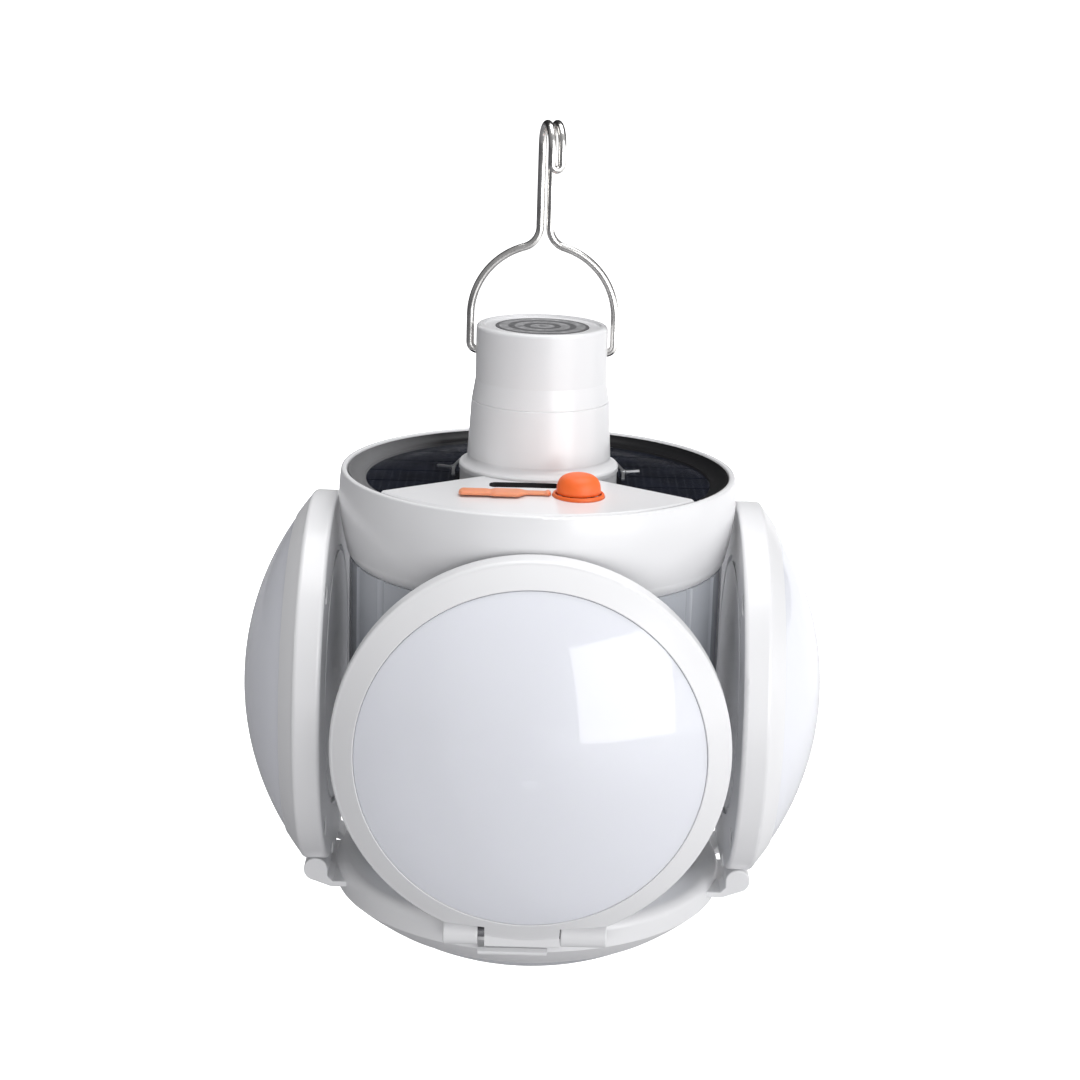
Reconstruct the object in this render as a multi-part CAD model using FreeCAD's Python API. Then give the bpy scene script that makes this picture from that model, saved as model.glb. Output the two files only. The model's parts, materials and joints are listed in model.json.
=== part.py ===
import FreeCAD, Part
import math
import os

# Folding solar lantern, drawn folded up into a ball.
# Millimetres. While a piece is drawn, the ball's centre is at (0, 0, 0), +Z is up and -Y is the
# front, where the button is. Every piece is raised by BASE_DOME_R when it is written, so that the
# row's origin is the lowest point of the base's dome, on the lantern's axis.

# ---------------------------------------------------------------- driving dimensions
BALL_R = 57.5              # sphere that the leaves' lit faces lie on
BASE_DOME_R = 57.0         # sphere of the downward light in the base
SHELL = 1.6                # wall of the moulded shells
GAP = 0.1                  # play between two mouldings that fit together

LEAF_NAMES = ("front", "right", "back", "left")
LEAF_R = 36.9              # rim of a leaf
LEAF_BACK = 39.3           # a leaf's back face, measured out from the lantern's axis
LENS_R = 32.2              # edge of the milky lens in a leaf

HINGE_OUT = 42.0           # hinge pin, out from the axis
HINGE_Z = -36.2            # hinge pin, below the ball's centre
KNUCKLE_R = 2.4            # outer radius of the base's hinge lugs
BARREL_R = 2.3             # outer radius of the leaf's hinge barrel
PIN_R = 1.0
PIN_PLAY = 0.05            # running clearance round a pin
LUG_SPANS = ((-15.4, -8.9), (6.6, 15.2))
BARREL_SPAN = (-7.6, 6.4)
NOTCH_TOP = -33.4          # the leaf's rim is cut away below this, to clear the lugs
LUG_CLEAR = 0.3            # side play beside a lug

CAP_LIP_Z = 43.5
CAP_LIP_R = 38.6
CAP_MAX_R = 38.9
CAP_FLOOR_Z = 26.0         # underside of the cap, where the column meets it
CAP_MOUTH_R = 37.4         # inside of the lip
DECK_BOTTOM = 38.0
DECK_R = 36.8
PANEL_Z = 39.6             # floor of the deck, where the solar panel lies
PANEL_R = 34.6
HUB_R = 15.4
LEDGE_APEX_Y = -5.5        # the ledge lies in front of two straight edges that meet here
LEDGE_SLOPE = 0.575        # fall of those edges away from the middle
LEDGE_Z_INNER = 44.3       # ledge height at the neck
LEDGE_Z_OUTER = 43.5       # ledge height at the lip

NECK_BORE_R = 11.6
NECK_FOOT_R = 14.0
NECK_TOP_R = 13.4
FLANGE_R = 15.6
NECK_SEAM_Z = 57.4
NECK_CAP_R = 12.7
NECK_TOP_Z = 72.0

BAIL_PIVOT_Z = 66.7
WIRE_R = 0.75
BAIL_LEG_X = 13.9          # centreline of a bail leg
BAIL_ARC_Z = 73.5          # centre of the bail's round part
STEM_X = 0.95              # half the spacing of the two wires in the stem
HOOK_TOP_Z = 111.3
HOOK_BEND_R = 4.1          # centreline radius of the hook's bend
HOOK_TURN = 13.0           # degrees that the hook's plane is turned from straight ahead

BUTTON_AT = (7.6, -23.5)
BUTTON_R = 4.15
COLLAR_R = 4.9
BUTTON_TRAVEL = 0.8
PORT_AT = (-2.5, -17.6)
COVER_AT = (-8.5, -24.8)
COVER_SIZE = (12.4, 4.6, 0.8)
STRAP_HINGE_X = 2.1
STRAP_Y = -24.0

COLUMN_R = 36.8
COLUMN_FOOT_R = 33.5
COLUMN_WAIST_Z = 3.0       # the column narrows below here
COLUMN_WALL = 2.0
FLUTES = 24

BASE_R = 39.0
BASE_TOP = -36.4
BASE_LENS_R = 32.3

BATTERY_R = 9.2            # 18650 cell
BATTERY_LENGTH = 65.0
BATTERY_BOTTOM = 3.5

FAR = 60.0                 # past every face of a piece, for cutting tools that go right through

X = FreeCAD.Vector(1, 0, 0)
Y = FreeCAD.Vector(0, 1, 0)
Z = FreeCAD.Vector(0, 0, 1)
ORIGIN = FreeCAD.Vector(0, 0, 0)


# ---------------------------------------------------------------- drawing helpers
def at(x, y, z):
    return FreeCAD.Vector(x, y, z)


def outline(place, start, *steps):
    """Closed face. A step is a point, or (through, end) for an arc; place maps 2D to 3D."""
    edges = []
    here = start
    for step in steps + (start,):
        if isinstance(step[0], tuple):
            through, end = step
            edges.append(Part.Arc(place(*here), place(*through), place(*end)).toShape())
        elif step != here:
            end = step
            edges.append(Part.makeLine(place(*here), place(*end)))
        here = end
    return Part.Face(Part.Wire(edges))


def turned(start, *steps):
    """Solid of revolution about Z from an outline of (radius, height) points."""
    face = outline(lambda r, z: at(r, 0, z), start, *steps)
    return face.revolve(ORIGIN, Z, 360)


def extruded(depth, start, *steps):
    """Outline of (x, y) points raised along Z."""
    return outline(lambda x, y: at(x, y, 0), start, *steps).extrude(Z * depth)


def rod(radius, start, end):
    """Round bar between two points."""
    line = end.sub(start)
    return Part.makeCylinder(radius, line.Length, start, line)


def disc(radius, low, high, x=0.0, y=0.0):
    return Part.makeCylinder(radius, high - low, at(x, y, low))


def ring(outer, inner, low, high):
    return disc(outer, low, high).cut(disc(inner, low, high))


def block(low, high):
    size = at(*high).sub(at(*low))
    return Part.makeBox(size.x, size.y, size.z, at(*low))


def rounded_block(low, high, radius):
    """Box whose upright edges are rounded."""
    solid = block(low, high)
    upright = [e for e in solid.Edges if abs(e.tangentAt(e.FirstParameter).z) > 0.9]
    return solid.makeFillet(radius, upright)


def joined(shapes):
    first, *rest = shapes
    return first.fuse(rest).removeSplitter() if rest else first


def around(shape, count, start=0.0):
    """Copies of a shape at equal angles about Z."""
    copies = []
    for step in range(count):
        copy = shape.copy()
        copy.rotate(ORIGIN, Z, start + 360.0 * step / count)
        copies.append(copy)
    return copies


def on_ball(radius, r):
    """Point of a sphere's profile at distance r from its axis."""
    return (r, math.sqrt(radius ** 2 - r ** 2))


def down(point):
    return (point[0], -point[1])


def mid_arc(radius, a, b):
    """Point of a sphere's profile halfway round between two others."""
    angle = (math.atan2(a[1], a[0]) + math.atan2(b[1], b[0])) / 2.0
    return (radius * math.cos(angle), radius * math.sin(angle))


def swept(radius, edges):
    """Round wire along a chain of edges."""
    path = Part.Wire(edges)
    first = edges[0]
    start = first.valueAt(first.FirstParameter)
    way = first.tangentAt(first.FirstParameter)
    profile = Part.Wire([Part.Circle(start, way, radius).toShape()])
    return path.makePipeShell([profile], True, False)


def curve(*points):
    """Smooth free curve through points."""
    line = Part.BSplineCurve()
    line.interpolate(list(points))
    return line.toShape()


def pan_screw(head_r, head_h, shank_r, length):
    """Cross-head screw, its head's seat at z = 0 and its shank up along +Z."""
    half_slot = 0.25 * head_r
    reach = 0.65 * head_r
    rim = -0.4 * head_h
    head = turned((0, 0), (head_r, 0), (head_r, rim), (0.7 * head_r, -head_h), (0, -head_h))
    cross = joined([
        block((-reach, -half_slot, -head_h), (reach, half_slot, rim)),
        block((-half_slot, -reach, -head_h), (half_slot, reach, rim)),
    ])
    return joined([head.cut(cross), disc(shank_r, 0, length)])


def light_chip():
    """Surface-mounted light: a white package with its round lit well."""
    half_length, half_width, high = 1.75, 1.4, 0.7
    well_r, well_depth = 1.1, 0.15
    body = rounded_block((-half_length, -half_width, 0), (half_length, half_width, high), 0.3)
    return body.cut(disc(well_r, high - well_depth, high))


def write(name, shape):
    """Save one piece; several loose solids of one piece go out together."""
    solids = shape.Solids
    moved = Part.makeCompound([s.copy() for s in solids]) if len(solids) > 1 else solids[0].copy()
    moved.translate(Z * BASE_DOME_R)
    moved.exportStep(os.path.join("parts", name + ".step"))


# ---------------------------------------------------------------- one leaf
# A leaf is drawn lying face up: its axis is Z, its hinge is at (x, HINGE_Z, HINGE_OUT), and
# heights are distances out from the lantern's axis. stand() then puts it on its side.
LEAF_FRONT = on_ball(BALL_R, LEAF_R)[1]
BOARD_LOW = 42.4
BOARD_HIGH = 43.4
BOARD_R = 29.5
SCREW_RING_R = 33.3
SCREW_SINK = 1.2           # depth of a screw's counterbore in the tray's back
SCREW_PILOT_R = 0.85
SCREW_HEAD_R = 1.8
SKIRT_LOW = 41.8           # foot of the bezel's skirt, inside the tray
LENS_SEAT = 46.3           # step in the bezel that traps the lens's flange
LENS_EDGE_DROP = 0.2       # the lens's edge lies this far under the bezel's
LENS_WALL = 1.2
CHIP_RINGS = ((6, 9.0), (12, 21.0))
TAB_FOOT = -38.3           # lowest edge of the thumb tab in front of the hinge barrel
RIM_ROUND = 0.7            # rounding of the leaf's outer edge
RIM_SEAM = LEAF_FRONT - 1.3    # where the bezel meets the tray's wall
LENS_LIP = 0.2             # rounding of the bezel's edge round the lens


def stand(shape, index):
    """Turn a leaf upright and move it to its side of the lantern."""
    shape = shape.copy()
    shape.rotate(ORIGIN, X, 90)
    shape.rotate(ORIGIN, Z, 90 * index)
    return shape


def lug_notches(low, high):
    """Room in the leaf's rim for both lugs and the gap beside the barrel."""
    left, right = LUG_SPANS
    spans = ((left[0] - LUG_CLEAR, BARREL_SPAN[0]), (BARREL_SPAN[1], right[1] + LUG_CLEAR))
    return [block((a, -FAR, low), (b, NOTCH_TOP, high)) for a, b in spans]


def hinge_rod(radius, left, right):
    """Round bar along the hinge's axis."""
    return rod(radius, at(left, HINGE_Z, HINGE_OUT), at(right, HINGE_Z, HINGE_OUT))


def leaf_tray():
    edge = 0.9
    corner = edge * (1 - math.sqrt(0.5))
    back = LEAF_BACK
    groove_r, groove_width, groove_depth = 26.0, 1.2, 0.5
    lead_hole_r, lead_hole_y = 1.6, -27.0
    shell = turned(
        (0, back),
        (LEAF_R - edge, back),
        ((LEAF_R - corner, back + corner), (LEAF_R, back + edge)),
        (LEAF_R, RIM_SEAM),
        (LEAF_R - SHELL, RIM_SEAM),
        (LEAF_R - SHELL, back + SHELL),
        (0, back + SHELL),
    )
    shell = shell.cut(ring(groove_r, groove_r - groove_width, back, back + groove_depth))
    shell = shell.cut(lug_notches(0, FAR))
    left, right = BARREL_SPAN
    barrel = hinge_rod(BARREL_R, left, right)
    tab = block((left, TAB_FOOT, HINGE_OUT), (right, HINGE_Z, HINGE_OUT + BARREL_R))
    low_edges = [e for e in tab.Edges if e.BoundBox.YMax < TAB_FOOT + GAP and e.BoundBox.XLength > 1]
    tab = tab.makeFillet(0.5, low_edges)
    web = block((left, HINGE_Z, back), (right, HINGE_Z + BARREL_R, HINGE_OUT))
    posts = around(disc(2.4, back + SHELL, SKIRT_LOW - GAP, SCREW_RING_R), 4, 45)
    stands = around(disc(2.0, back + SHELL, BOARD_LOW, 25.0), 4)
    tray = joined([shell, barrel, tab, web] + posts + stands)
    bore = hinge_rod(PIN_R + PIN_PLAY, left - 1, right + 1)
    holes = around(disc(SCREW_PILOT_R + 0.2, 0, FAR, SCREW_RING_R), 4, 45)
    sinks = around(disc(SCREW_HEAD_R + 0.3, 0, back + SCREW_SINK, SCREW_RING_R), 4, 45)
    lead_hole = disc(lead_hole_r, 0, FAR, 0, lead_hole_y)
    return tray.cut([bore, lead_hole] + holes + sinks)


def leaf_bezel():
    inner_top = on_ball(BALL_R, LENS_R + LENS_LIP)
    outer_top = on_ball(BALL_R, LEAF_R - RIM_ROUND)
    lip_corner = 0.3 * LENS_LIP
    rim_corner = 0.26 * RIM_ROUND
    skirt_out = LEAF_R - SHELL - GAP
    skirt_in = 33.0
    solid = turned(
        (LEAF_R, RIM_SEAM),
        (LEAF_R, LEAF_FRONT - 0.45),
        ((LEAF_R - rim_corner, LEAF_FRONT + rim_corner), outer_top),
        (mid_arc(BALL_R, outer_top, inner_top), inner_top),
        ((LENS_R + lip_corner, inner_top[1] - lip_corner), (LENS_R, inner_top[1] - LENS_LIP)),
        (LENS_R, LENS_SEAT),
        (skirt_in, LENS_SEAT),
        (skirt_in, SKIRT_LOW),
        (skirt_out, SKIRT_LOW),
        (skirt_out, RIM_SEAM),
    )
    bosses = around(disc(1.9, SKIRT_LOW, 44.6, SCREW_RING_R), 4, 45)
    pilots = around(disc(SCREW_PILOT_R, SKIRT_LOW, 43.9, SCREW_RING_R), 4, 45)
    solid = joined([solid] + bosses)
    solid = solid.common(disc(skirt_out, SKIRT_LOW, RIM_SEAM).fuse(disc(LEAF_R, RIM_SEAM, BALL_R)))
    barrel_room = block(
        (BARREL_SPAN[0] - GAP, -FAR, 0),
        (BARREL_SPAN[1] + GAP, HINGE_Z + BARREL_R + 0.3, HINGE_OUT + BARREL_R + GAP),
    )
    return solid.cut(pilots + [barrel_room] + lug_notches(0, FAR))


def lens(edge_r, edge_z, apex_z, flange_r, flange_low, flange_high):
    """Domed milky cover: a thin spherical cap on a flange that the bezel traps."""
    wall = LENS_WALL
    rise = apex_z - edge_z
    radius = (rise ** 2 + edge_r ** 2) / (2 * rise)
    centre = apex_z - radius
    inner = radius - wall
    inner_r = edge_r - wall - GAP
    inner_z = centre + math.sqrt(inner ** 2 - inner_r ** 2)
    half_out = math.asin(edge_r / radius) / 2
    half_in = math.asin(inner_r / inner) / 2
    return turned(
        (0, apex_z - wall),
        (0, apex_z),
        ((radius * math.sin(half_out), centre + radius * math.cos(half_out)), (edge_r, edge_z)),
        (edge_r, flange_high),
        (flange_r, flange_high),
        (flange_r, flange_low),
        (inner_r, flange_low),
        (inner_r, inner_z),
        ((inner * math.sin(half_in), centre + inner * math.cos(half_in)), (0, apex_z - wall)),
    )


def leaf_lens():
    edge_z = on_ball(BALL_R, LENS_R)[1] - LENS_EDGE_DROP
    flange_high = LENS_SEAT - GAP
    solid = lens(LENS_R - GAP, edge_z, BALL_R, 32.9, flange_high - 1.3, flange_high)
    boss_room = around(disc(2.1, 0, flange_high + 0.05, SCREW_RING_R), 4, 45)
    return solid.cut(boss_room)


def light_board(low, high, radius):
    board = disc(radius, low, high)
    lead_holes = around(disc(1.2, low, high, radius - 7.5), 2, 45)
    return board.cut(lead_holes)


def light_chips(seat):
    chips = []
    for count, radius in CHIP_RINGS:
        chip = light_chip()
        chip.translate(at(radius, 0, seat))
        chips += around(chip, count)
    return Part.makeCompound(chips)


def leaf_screws():
    screw = pan_screw(SCREW_HEAD_R, 1.0, SCREW_PILOT_R, 3.3)
    screw.translate(at(SCREW_RING_R, 0, LEAF_BACK + SCREW_SINK))
    return Part.makeCompound(around(screw, 4, 45))


def hinge_pin():
    inset = 0.3
    return hinge_rod(PIN_R, LUG_SPANS[0][0] + inset, LUG_SPANS[1][1] - inset)


LEAF_PIECES = (
    ("tray", leaf_tray),
    ("bezel", leaf_bezel),
    ("lens", leaf_lens),
    ("light_board", lambda: light_board(BOARD_LOW, BOARD_HIGH, BOARD_R)),
    ("light_chips", lambda: light_chips(BOARD_HIGH)),
    ("screws", leaf_screws),
    ("hinge_pin", hinge_pin),
)


# ---------------------------------------------------------------- base
BASE_EDGE_Z = -on_ball(BASE_DOME_R, BASE_R)[1]
BASE_PLATE_LOW = BASE_TOP - SHELL
BASE_WALL = 1.8
BASE_LENS_SEAT = -45.6
BASE_FLANGE_R = 33.2       # flange of the base's lens
BASE_BOARD_TOP = -42.2
BASE_BOARD_R = 29.0
BOARD_THICK = 1.0
BASE_SCREW_R = 26.0        # circle of the screws that hold the column
SHOULDER = 2.2             # fall of the base's rounded upper edge
SHOULDER_R = 37.0          # radius where that edge begins
LUG_CHIN = math.radians(30)    # where a lug's slanting underside leaves the knuckle
LUG_DROP = 1.5             # fall of the underside from there in to the base


def hinge_lug(span):
    """Lug of the base, drawn as for a leaf lying face up: side profile of (out, z)."""
    out, z, r = HINGE_OUT, HINGE_Z, KNUCKLE_R
    root = 35.4                # inner end, inside the base's wall
    slant = r * math.sqrt(0.5)
    chin = (out + r * math.sin(LUG_CHIN), z - r * math.cos(LUG_CHIN))
    jaw = (out + r * math.cos(LUG_CHIN / 2), z - r * math.sin(LUG_CHIN / 2))
    face = outline(
        lambda u, v: at(span[0], v, u),
        (out + r, z),
        ((out + slant, z + slant), (out, z + r)),
        ((out - slant, z + slant), (out - r, z)),
        (out - r, z - 1.4),
        (BASE_R - 0.4, BASE_TOP - SHOULDER),
        (root, BASE_TOP - SHOULDER),
        (root, chin[1] - LUG_DROP),
        (BASE_R, chin[1] - LUG_DROP),
        chin,
        (jaw, (out + r, z)),
    )
    lug = face.extrude(X * (span[1] - span[0]))
    ends = [e for e in lug.Edges if e.BoundBox.XLength < GAP]
    return lug.makeFillet(0.3, ends)


def hinge_foot():
    """Both lugs of one leaf and the shelf between them, turned to the front of the base."""
    shelf_left, shelf_right = LUG_SPANS[0][1], 4.2
    shelf = outline(
        lambda u, v: at(shelf_left, v, u),
        (42.0, -40.2),
        (41.4, -39.7),
        (37.5, -39.7),
        (37.5, -41.3),
        (40.5, -41.3),
        ((41.6, -41.1), (42.0, -40.6)),
    ).extrude(X * (shelf_right - shelf_left))
    foot = joined([hinge_lug(span) for span in LUG_SPANS] + [shelf])
    return stand(foot.cut(hinge_pin()), 0)


def base_housing():
    shoulder_mid = (SHOULDER_R + 0.72 * (BASE_R - SHOULDER_R), BASE_TOP - 0.28 * SHOULDER)
    cup = turned(
        (0, BASE_TOP),
        (SHOULDER_R, BASE_TOP),
        (shoulder_mid, (BASE_R, BASE_TOP - SHOULDER)),
        (BASE_R, BASE_EDGE_Z),
        (BASE_R - BASE_WALL, BASE_EDGE_Z),
        (BASE_R - BASE_WALL, BASE_PLATE_LOW),
        (0, BASE_PLATE_LOW),
    )
    inside = disc(BASE_R - BASE_WALL, -FAR, BASE_PLATE_LOW)
    feet = around(hinge_foot().cut(inside), 4)
    stands = around(disc(2.2, BASE_BOARD_TOP, BASE_PLATE_LOW, 18.0), 4)
    housing = joined([cup] + feet + stands)
    holes = around(disc(1.35, -FAR, 0, BASE_SCREW_R), 4, 45)
    lead_hole = disc(3.0, -FAR, 0, 12.0, 12.0)
    return housing.cut(holes + [lead_hole])


def base_bezel():
    outer = down(on_ball(BASE_DOME_R, BASE_R))
    inner = down(on_ball(BASE_DOME_R, BASE_LENS_R + GAP))
    skirt_out = BASE_R - BASE_WALL - GAP
    skirt_in = 34.9
    skirt_top = BASE_PLATE_LOW - 0.3
    return turned(
        outer,
        (mid_arc(BASE_DOME_R, outer, inner), inner),
        (inner[0], BASE_LENS_SEAT),
        (BASE_FLANGE_R + GAP, BASE_LENS_SEAT),
        (BASE_FLANGE_R + GAP, -44.0),
        (skirt_in, -42.6),
        (skirt_in, skirt_top),
        (skirt_out, skirt_top),
        (skirt_out, outer[1]),
    )


def base_lens():
    edge = on_ball(BASE_DOME_R, BASE_LENS_R)[1] - LENS_EDGE_DROP
    flange_high = -BASE_LENS_SEAT - GAP
    solid = lens(BASE_LENS_R, edge, BASE_DOME_R, BASE_FLANGE_R, flange_high - 1.3, flange_high)
    solid.rotate(ORIGIN, X, 180)
    return solid


def base_light_chips():
    chips = light_chips(0)
    chips.rotate(ORIGIN, X, 180)
    chips.translate(Z * (BASE_BOARD_TOP - BOARD_THICK))
    return chips


def base_screws():
    screw = pan_screw(2.3, 1.5, COLUMN_PILOT_R, 8.0)
    screw.translate(at(BASE_SCREW_R, 0, BASE_PLATE_LOW))
    return Part.makeCompound(around(screw, 4, 45))


# ---------------------------------------------------------------- column and battery
COLUMN_PILOT_R = 1.2
WIRE_HOLE = (-14.0, -14.0)
WIRE_HOLE_R = 2.5
SLEEVE_R = 10.1
SLEEVE_BORE_R = 9.4
SLEEVE_LOW = -6.0
CONTACT_THICK = 0.4


def roof_holes():
    """Holes for the battery sleeve and the battery's lead, through the column's roof and the cap."""
    return [disc(SLEEVE_R + 0.2, 0, FAR), disc(WIRE_HOLE_R, 0, FAR, *WIRE_HOLE)]


def column():
    roof_low = CAP_FLOOR_Z - 1.8
    boss_top, boss_r, rib_half = BASE_TOP + 10.4, 3.0, 0.8
    flute_r, flute_out = 1.5, 1.05
    tube = turned(
        (COLUMN_FOOT_R, BASE_TOP),
        (COLUMN_R, COLUMN_WAIST_Z),
        (COLUMN_R, CAP_FLOOR_Z),
        (0, CAP_FLOOR_Z),
        (0, roof_low),
        (COLUMN_R - COLUMN_WALL, roof_low),
        (COLUMN_R - COLUMN_WALL, COLUMN_WAIST_Z),
        (COLUMN_FOOT_R - COLUMN_WALL, BASE_TOP),
    )
    waist = at(COLUMN_R + flute_out, 0, COLUMN_WAIST_Z)
    flute = rod(flute_r, waist, at(waist.x, 0, CAP_FLOOR_Z)).fuse(
        rod(flute_r, at(COLUMN_FOOT_R + flute_out, 0, BASE_TOP), waist))
    bosses = around(disc(boss_r, BASE_TOP, boss_top, BASE_SCREW_R), 4, 45)
    rib = block((BASE_SCREW_R + 2, -rib_half, BASE_TOP), (COLUMN_FOOT_R - 1, rib_half, boss_top))
    solid = joined([tube] + bosses + around(rib, 4, 45))
    pilots = around(disc(COLUMN_PILOT_R, BASE_TOP, boss_top - 3, BASE_SCREW_R), 4, 45)
    return solid.cut(around(flute, FLUTES, 180.0 / FLUTES) + pilots + roof_holes())


def battery_cell():
    r, low, top = BATTERY_R, BATTERY_BOTTOM, BATTERY_BOTTOM + BATTERY_LENGTH
    return turned(
        (0, low),
        (r - 0.6, low),
        ((r - 0.2, low + 0.2), (r, low + 0.6)),
        (r, top - 1.6),
        ((r - 0.2, top - 1.2), (r - 0.6, top - 1.0)),
        (4.0, top - 1.0),
        (4.0, top),
        (0, top),
    )


def battery_sleeve():
    sleeve_top, floor, lead_hole_r = 50.0, 1.5, 1.2
    low = SLEEVE_LOW
    tube = joined([ring(SLEEVE_R, SLEEVE_BORE_R, low, sleeve_top), disc(SLEEVE_R, low, low + floor)])
    return tube.cut(disc(lead_hole_r, low, low + floor))


def bottom_spring():
    """Coil of wire that presses the cell up."""
    wire_r, coil_r, coil_low, turns = 0.45, 5.0, -3.9, 3
    height = BATTERY_BOTTOM - coil_low - 2 * wire_r
    helix = Part.makeHelix(height / turns, height, coil_r)
    helix.translate(Z * coil_low)
    return swept(wire_r, helix.Edges)


def top_contact():
    low = BATTERY_BOTTOM + BATTERY_LENGTH
    plate_r, strip_half, strip_low = 10.5, 2.0, 30.0
    high = low + CONTACT_THICK
    strip_y = SLEEVE_R + GAP
    strip = block((-strip_half, strip_y, strip_low), (strip_half, strip_y + CONTACT_THICK, high))
    return joined([disc(plate_r, low, high), strip])


def battery_wires():
    """Leads from the control board to the sleeve's foot and to the top contact's strip."""
    lead_r = 0.6
    x, y = WIRE_HOLE
    negative = curve(
        at(x + 4, y - 7, 33.0),
        at(x, y, 27.0),
        at(x, y, 0.0),
        at(-8, -8, -9.5),
        at(-0.6, -0.6, -8.0),
    )
    positive = curve(at(14, -19.5, 32.8), at(17, -4, 30.5), at(12, 9, 29.8), at(3.4, 11.6, 31.0))
    return Part.makeCompound([swept(lead_r, [negative]), swept(lead_r, [positive])])


# ---------------------------------------------------------------- cap, deck and panel
FLANGE_SEAT = LEDGE_Z_INNER - 0.6
SPIGOT_R = 12.7            # part of the neck tube that stands in the deck
PORT_SLOT = (13.4, 3.5)
COLLAR_SEAT = 0.5          # depth of the collar's seat in the ledge
TRIM_LOW = 41.2
PANEL_TOP = 41.0
CELL_TOP = 41.25


def ledge_plan(grow, low, high):
    """The ledge's fan shape, its two straight edges moved outward by grow."""
    shift = grow * math.sqrt(1 + LEDGE_SLOPE ** 2)
    apex = LEDGE_APEX_Y + shift
    side = apex - LEDGE_SLOPE * FAR
    fan = extruded(high - low, (0, apex), (-FAR, side), (-FAR, -FAR), (FAR, -FAR), (FAR, side))
    fan.translate(Z * low)
    return fan


def cap_housing():
    floor_r = 36.2
    floor_top = CAP_FLOOR_Z + 2.0
    outer = turned(
        (0, CAP_FLOOR_Z),
        (floor_r, CAP_FLOOR_Z),
        ((36.95, CAP_FLOOR_Z + 0.7), (37.5, CAP_FLOOR_Z + 2.3)),
        ((38.45, 32.8), (CAP_MAX_R, 37.5)),
        ((CAP_MAX_R, 40.0), (CAP_LIP_R, CAP_LIP_Z - 0.5)),
        ((CAP_LIP_R - 0.2, CAP_LIP_Z - 0.1), (CAP_LIP_R - 0.6, CAP_LIP_Z)),
        ((CAP_MOUTH_R + 0.2, CAP_LIP_Z - 0.1), (CAP_MOUTH_R, CAP_LIP_Z - 0.5)),
        (DECK_R + GAP, DECK_BOTTOM + 1.0),
        (DECK_R + GAP, DECK_BOTTOM),
        (35.6, DECK_BOTTOM),
        ((35.9, 34.0), (35.4, 30.2)),
        ((34.8, 28.8), (33.6, floor_top)),
        (0, floor_top),
    )
    return outer.cut(roof_holes())


def cap_deck():
    rim_width = 1.2
    floor = disc(DECK_R, DECK_BOTTOM, PANEL_Z)
    rim = ring(DECK_R, DECK_R - rim_width, DECK_BOTTOM, TRIM_LOW)
    hub = disc(HUB_R, DECK_BOTTOM, FLANGE_SEAT)
    cone = turned(
        (0, DECK_BOTTOM),
        (DECK_R, DECK_BOTTOM),
        (DECK_R, LEDGE_Z_OUTER - 0.3),
        (DECK_R - 0.4, LEDGE_Z_OUTER),
        (FLANGE_R, LEDGE_Z_INNER),
        (0, LEDGE_Z_INNER),
    )
    ledge = cone.common(ledge_plan(0, 0, FAR))
    under = disc(DECK_R - SHELL, 0, LEDGE_Z_OUTER - SHELL).cut(disc(HUB_R, 0, FAR))
    under = under.common(ledge_plan(-SHELL, 0, FAR))
    x, y = PORT_AT
    half_length, half_width = PORT_SLOT[0] / 2, PORT_SLOT[1] / 2
    slot = rounded_block((x - half_length, y - half_width, 0), (x + half_length, y + half_width, FAR), 1.2)
    return joined([floor, rim, hub, ledge]).cut([
        under,
        disc(FLANGE_R + GAP, FLANGE_SEAT, FAR),
        disc(SPIGOT_R + GAP, 0, FAR),
        slot,
        disc(BUTTON_R - 0.9, 0, FAR, *BUTTON_AT),
        disc(COLLAR_R + GAP, ledge_height(*BUTTON_AT) - COLLAR_SEAT, FAR, *BUTTON_AT),
    ])


def ledge_height(x, y):
    """Height of the sloping ledge at a place."""
    share = (math.hypot(x, y) - FLANGE_R) / (DECK_R - FLANGE_R)
    return LEDGE_Z_INNER + (LEDGE_Z_OUTER - LEDGE_Z_INNER) * share


def panel_plan(inset, low, high):
    """The recess's C shape round the hub and behind the ledge."""
    return ring(PANEL_R - inset, HUB_R + GAP + inset, low, high).cut(ledge_plan(GAP + inset, 0, FAR))


def solar_panel():
    return panel_plan(0, PANEL_Z, PANEL_TOP)


def solar_cells():
    """Rows of thin cells; slivers left over at the panel's edge are dropped."""
    pitch, width, margin, least_volume = 8.6, 8.2, 0.9, 0.5
    strips = []
    for row in range(-4, 5):
        low_y = row * pitch - width / 2
        strip = block((-FAR, low_y, PANEL_TOP), (FAR, low_y + width, CELL_TOP))
        strips += panel_plan(margin, PANEL_TOP, CELL_TOP).common(strip).Solids
    return Part.makeCompound([s for s in strips if s.Volume > least_volume])


def panel_frame():
    """Sloping trim ring between the lip and the panel, open at the ledge."""
    trim_top, trim_r = CAP_LIP_Z - 0.4, CAP_MOUTH_R - 0.2
    solid = turned(
        (33.7, CELL_TOP),
        (34.0, 41.6),
        ((35.9, 42.0), (trim_r - 0.15, trim_top)),
        (trim_r, trim_top),
        (DECK_R, TRIM_LOW),
        (PANEL_R + GAP, TRIM_LOW),
        (PANEL_R, CELL_TOP),
    )
    return solid.cut(ledge_plan(GAP, 0, FAR))


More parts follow.
